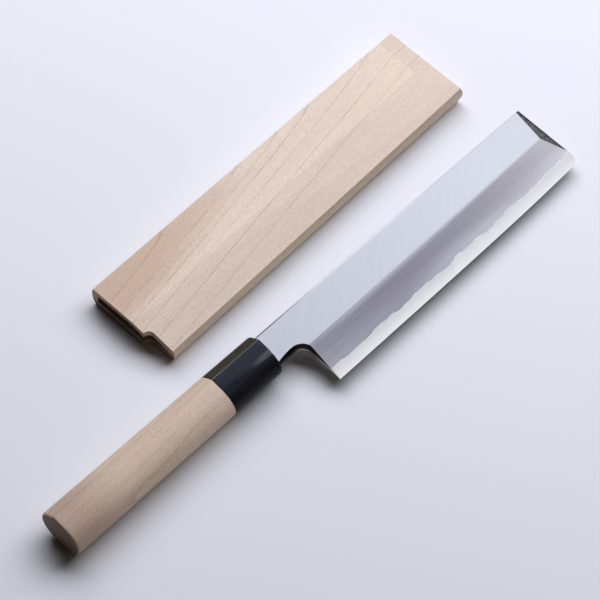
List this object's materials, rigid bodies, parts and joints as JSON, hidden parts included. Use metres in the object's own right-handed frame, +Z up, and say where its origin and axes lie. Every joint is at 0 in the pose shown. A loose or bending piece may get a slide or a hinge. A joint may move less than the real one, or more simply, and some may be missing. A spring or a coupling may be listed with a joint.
{
  "type": "usuba knife with sheath",
  "caption": "Japanese vegetable knife with a straight single-bevel blade, D-section wooden handle and horn ferrule, lying beside the fitted wooden sheath drawn off it.",
  "frame": {"origin": "on the table under the middle of the knife and sheath as they lie side by side", "axes": "+X along the sheath, from the handle's end to the blade's, +Y from the cutting edge towards the sheath, +Z up off the table"},
  "size_m": [0.334, 0.1238, 0.0231],
  "materials": {
    "soft_iron": "satin ground soft iron, bright on the flat and hazed grey on the bevel",
    "edge_steel": "polished high-carbon steel",
    "black_horn": "polished black water buffalo horn",
    "handle_magnolia": "bare planed and sanded magnolia",
    "sheath_magnolia": "bare planed magnolia"
  },
  "bodies": {
    "knife": {"iron_blade_body": "soft_iron", "steel_edge_layer": "edge_steel", "horn_ferrule": "black_horn", "wooden_handle": "handle_magnolia"},
    "sheath": {"sheath_back_board": "sheath_magnolia", "sheath_front_board": "sheath_magnolia"}
  },
  "joints": [
    {"name": "sheath_draw", "type": "slide", "parent": "knife", "child": "sheath", "axis": [1, 0, 0], "range_m": [0, 0.19]}
  ]
}
